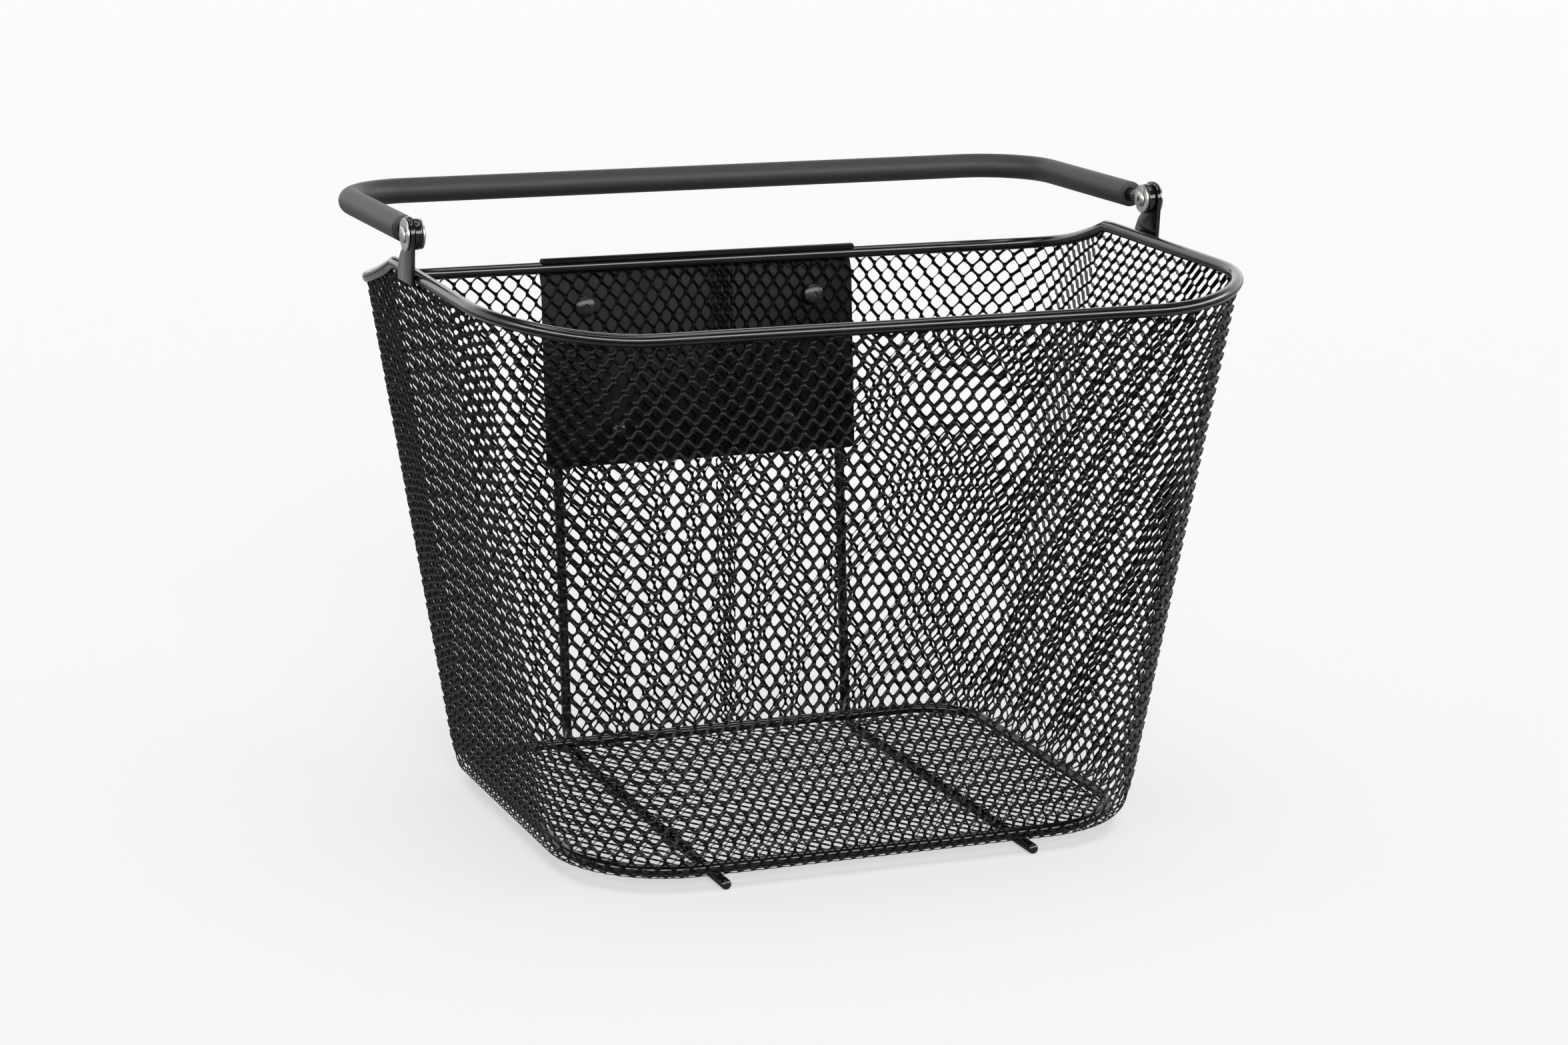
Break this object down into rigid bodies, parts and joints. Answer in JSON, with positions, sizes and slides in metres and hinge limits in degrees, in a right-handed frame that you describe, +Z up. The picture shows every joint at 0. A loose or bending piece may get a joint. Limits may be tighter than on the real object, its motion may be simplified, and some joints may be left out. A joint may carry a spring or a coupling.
{
  "type": "bicycle handlebar basket",
  "caption": "Tapered expanded-metal bicycle basket with a wire rim, a hook plate at the back for a handlebar bracket and a folding foam-covered carrying handle.",
  "frame": {"origin": "middle of the footprint, on the ground under the two support rods", "axes": "+Z up; -Y is the basket's front, away from the rider; +Y is the bicycle's side, with the hook plate; +X is along the handle's hinge axis, to the right seen from the front"},
  "size_m": [0.3864, 0.3025, 0.2988],
  "materials": {
    "black_coat": "glossy black dipped coating on steel wire and expanded steel",
    "black_sheet": "semi-gloss black coating on steel sheet",
    "black_bolt": "black coated steel",
    "black_plastic": "fine-grained black moulded plastic",
    "zinc": "bright zinc plate",
    "foam": "matt closed-cell foam"
  },
  "bodies": {
    "basket": {"wall_mesh_front": "black_coat", "wall_mesh_back": "black_coat", "wall_mesh_side_left": "black_coat", "wall_mesh_side_right": "black_coat", "wall_mesh_front_corner_left": "black_coat", "wall_mesh_front_corner_right": "black_coat", "wall_mesh_back_corner_left": "black_coat", "wall_mesh_back_corner_right": "black_coat", "base_mesh": "black_coat", "top_rim": "black_coat", "base_ring": "black_coat", "support_rod_left": "black_coat", "support_rod_right": "black_coat", "rear_plate": "black_sheet", "hook_plate": "black_plastic", "plate_bolt_upper_left": "black_bolt", "plate_bolt_lower_left": "black_bolt", "plate_nut_upper_left": "zinc", "plate_nut_lower_left": "zinc", "handle_bracket_left": "black_coat", "pivot_rivet_left": "zinc", "pivot_washer_inner_left": "zinc", "pivot_washer_outer_left": "zinc", "plate_bolt_upper_right": "black_bolt", "plate_bolt_lower_right": "black_bolt", "plate_nut_upper_right": "zinc", "plate_nut_lower_right": "zinc", "handle_bracket_right": "black_coat", "pivot_rivet_right": "zinc", "pivot_washer_inner_right": "zinc", "pivot_washer_outer_right": "zinc"},
    "handle": {"handle_rod": "black_coat", "foam_grip": "foam"}
  },
  "joints": [
    {"name": "handle_fold", "type": "hinge", "parent": "basket", "child": "handle", "pos_m": [0, -0.00112, 0.29047], "axis": [1, 0, 0], "range_deg": [-11, 187]}
  ]
}
